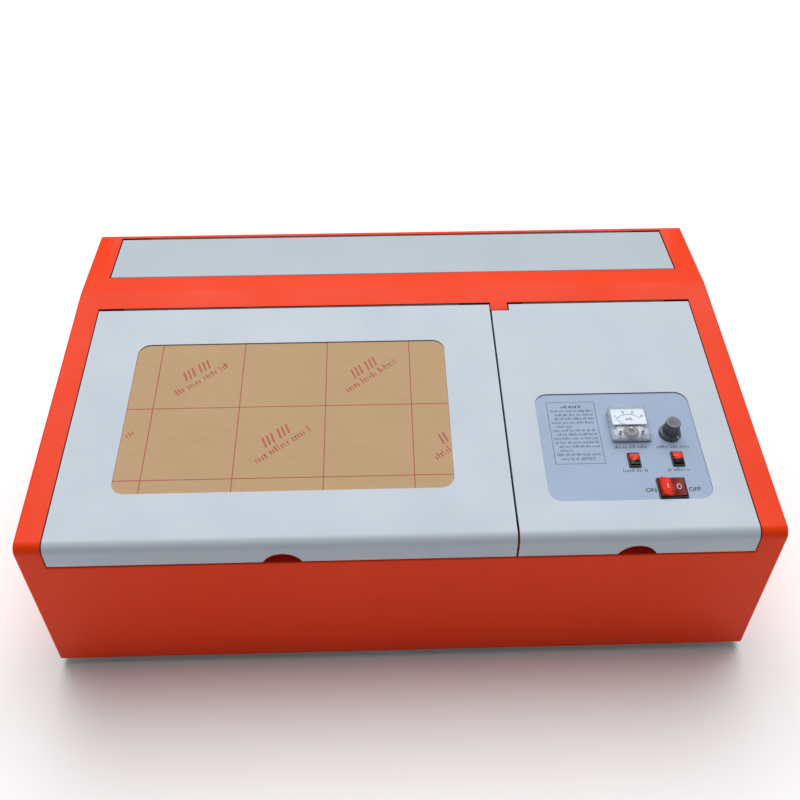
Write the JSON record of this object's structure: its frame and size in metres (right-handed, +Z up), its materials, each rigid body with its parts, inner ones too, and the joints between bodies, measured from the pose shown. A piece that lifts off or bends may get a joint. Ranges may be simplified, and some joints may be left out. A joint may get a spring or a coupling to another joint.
{
  "type": "laser engraver",
  "caption": "Desktop laser engraver: low sheet-metal case with hinged windowed work lid, hinged control lid with meter, knob and switches, and a moving gantry inside.",
  "frame": {"origin": "centre of the bounding box, on the floor under the feet", "axes": "+X to the machine's right along its width, -Y to the front, +Z up"},
  "size_m": [0.8, 0.5, 0.262],
  "materials": {
    "case_paint": "smooth gloss powder coat",
    "lid_paint": "satin powder coat",
    "rear_lid_paint": "satin powder coat",
    "panel_metal": "bluish anodised, fine brushed",
    "zinc_steel": "zinc-plated sheet",
    "hinge_steel": "blackened",
    "screw_steel": "nickel-plated",
    "rod_chrome": "ground and hard chromed",
    "machined_aluminium": "machined, clear anodised",
    "motor_body": "satin black with bright end frames",
    "foot_rubber": "matt",
    "belt_rubber": "toothed belt",
    "black_plastic": "moulded",
    "meter_white": "light moulded housing",
    "switch_plastic": "moulded, fine texture",
    "knob_plastic": "moulded with a bright pointer",
    "red_plastic": "opaque red moulding",
    "rocker_translucent": "translucent red moulding",
    "kraft_paper": "ribbed protective kraft paper with a printed grid",
    "window_acrylic": "amber acrylic sheet",
    "meter_clear": "clear moulded cover",
    "dial_card": "white scale card",
    "coil_body": "tan moulding",
    "needle_metal": "pale pointer",
    "tube_glass": "clear borosilicate",
    "lens_glass": "orange infrared lens",
    "mirror_gold": "gold-coated mirror",
    "circuit_board": "green solder mask"
  },
  "bodies": {
    "case": {"case_shell": "case_paint", "base_tray": "zinc_steel", "rear_panel": "zinc_steel", "bay_divider": "zinc_steel", "tube_bay_wall": "zinc_steel", "exhaust_duct": "zinc_steel", "rubber_feet": "foot_rubber", "case_screws": "screw_steel", "hose_grommets": "foot_rubber", "mains_inlet": "black_plastic", "hinge_bases": "hinge_steel", "laser_tube": "tube_glass", "tube_end_caps": "screw_steel", "tube_clamps": "black_plastic", "mirror_1_mount": "machined_aluminium", "gantry_frame": "zinc_steel", "y_rods": "rod_chrome", "y_belts": "belt_rubber", "y_motor": "motor_body", "work_table": "machined_aluminium", "clamp_base": "machined_aluminium", "power_supply": "zinc_steel", "controller_board": "circuit_board"},
    "drive_shaft": {"y_drive_shaft": "screw_steel"},
    "idlers": {"belt_idlers": "machined_aluminium"},
    "gantry": {"x_beam": "machined_aluminium", "bearing_blocks": "machined_aluminium", "x_rail": "rod_chrome", "x_motor": "motor_body", "x_belt": "belt_rubber", "mirror_2_mount": "machined_aluminium"},
    "x_pulley": {"x_drive_pulley": "machined_aluminium"},
    "x_idler_wheel": {"x_idler": "machined_aluminium"},
    "head": {"head_carriage": "machined_aluminium", "laser_head": "machined_aluminium", "head_mirror": "mirror_gold", "mirror_cap": "machined_aluminium", "focus_lens": "lens_glass"},
    "jaw": {"clamp_jaw": "machined_aluminium"},
    "work_lid": {"work_lid": "lid_paint", "work_hinge_leaf": "hinge_steel", "masking_paper": "kraft_paper", "window_acrylic": "window_acrylic"},
    "control_lid": {"control_lid": "lid_paint", "control_hinge_leaf": "hinge_steel", "control_panel": "panel_metal", "panel_nuts": "screw_steel", "meter_base": "meter_white", "meter_dial": "dial_card", "meter_coil": "coil_body", "meter_cover": "meter_clear", "potentiometer": "screw_steel", "switch_frames": "switch_plastic"},
    "needle": {"meter_needle": "needle_metal"},
    "knob": {"current_knob": "knob_plastic"},
    "laser_switch": {"laser_rocker": "red_plastic"},
    "test_switch": {"test_button": "red_plastic"},
    "main_switch": {"main_rocker": "rocker_translucent"},
    "tube_lid": {"tube_lid": "rear_lid_paint", "tube_hinge_leaf": "hinge_steel"}
  },
  "joints": [
    {"name": "gantry_slide", "type": "slide", "parent": "case", "child": "gantry", "axis": [0, -1, 0], "range_m": [0, 0.2]},
    {"name": "head_slide", "type": "slide", "parent": "gantry", "child": "head", "axis": [1, 0, 0], "range_m": [0, 0.3]},
    {"name": "drive_shaft_spin", "type": "hinge", "parent": "case", "child": "drive_shaft", "pos_m": [0, 0.11, 0.084], "axis": [1, 0, 0], "range_deg": [-10, 1330]},
    {"name": "idler_spin", "type": "hinge", "parent": "case", "child": "idlers", "pos_m": [0, -0.192, 0.084], "axis": [1, 0, 0], "range_deg": [-10, 1330]},
    {"name": "x_pulley_spin", "type": "hinge", "parent": "gantry", "child": "x_pulley", "pos_m": [0.08, 0.079, 0.17], "axis": [0, 1, 0], "range_deg": [-1985, 10]},
    {"name": "x_idler_spin", "type": "hinge", "parent": "gantry", "child": "x_idler_wheel", "pos_m": [-0.325, 0.079, 0.17], "axis": [0, 1, 0], "range_deg": [-1985, 10]},
    {"name": "clamp_slide", "type": "slide", "parent": "case", "child": "jaw", "axis": [0, -1, 0], "range_m": [0, 0.08], "stiffness_N_per_m": 70, "springref_m": -0.02},
    {"name": "work_lid_hinge", "type": "hinge", "parent": "case", "child": "work_lid", "pos_m": [0, 0.09039, 0.25649], "axis": [-1, 0, 0], "range_deg": [0, 95]},
    {"name": "control_lid_hinge", "type": "hinge", "parent": "case", "child": "control_lid", "pos_m": [0.25, 0.09039, 0.25649], "axis": [-1, 0, 0], "range_deg": [0, 95]},
    {"name": "tube_lid_hinge", "type": "hinge", "parent": "case", "child": "tube_lid", "pos_m": [0, 0.2432, 0.2605], "axis": [-1, 0, 0], "range_deg": [0, 95]},
    {"name": "needle_swing", "type": "hinge", "parent": "control_lid", "child": "needle", "pos_m": [0.258, -0.11681, 0.23888], "axis": [0, 0.1253, -0.9921], "range_deg": [0, 90], "stiffness_Nm_per_rad": 0.0001},
    {"name": "knob_turn", "type": "hinge", "parent": "control_lid", "child": "knob", "pos_m": [0.3025, -0.11863, 0.23664], "axis": [0, -0.1253, 0.9921], "range_deg": [0, 300]},
    {"name": "laser_switch_rock", "type": "hinge", "parent": "control_lid", "child": "laser_switch", "pos_m": [0.2555, -0.15388, 0.22614], "axis": [-1, 0, 0], "range_deg": [0, 16]},
    {"name": "test_button_press", "type": "slide", "parent": "control_lid", "child": "test_switch", "axis": [0, 0.1253, -0.9921], "range_m": [0, 0.002], "stiffness_N_per_m": 200, "springref_m": -0.0015},
    {"name": "main_switch_rock", "type": "hinge", "parent": "control_lid", "child": "main_switch", "pos_m": [0.2895, -0.19137, 0.2214], "axis": [0, -0.9921, -0.1253], "range_deg": [0, 16]}
  ],
  "couplings": [
    {"joint": "drive_shaft_spin", "follows": "gantry_slide", "rad_per_m": 114.29},
    {"joint": "idler_spin", "follows": "gantry_slide", "rad_per_m": 114.29},
    {"joint": "x_pulley_spin", "follows": "head_slide", "rad_per_m": -114.29},
    {"joint": "x_idler_spin", "follows": "head_slide", "rad_per_m": -114.29}
  ]
}
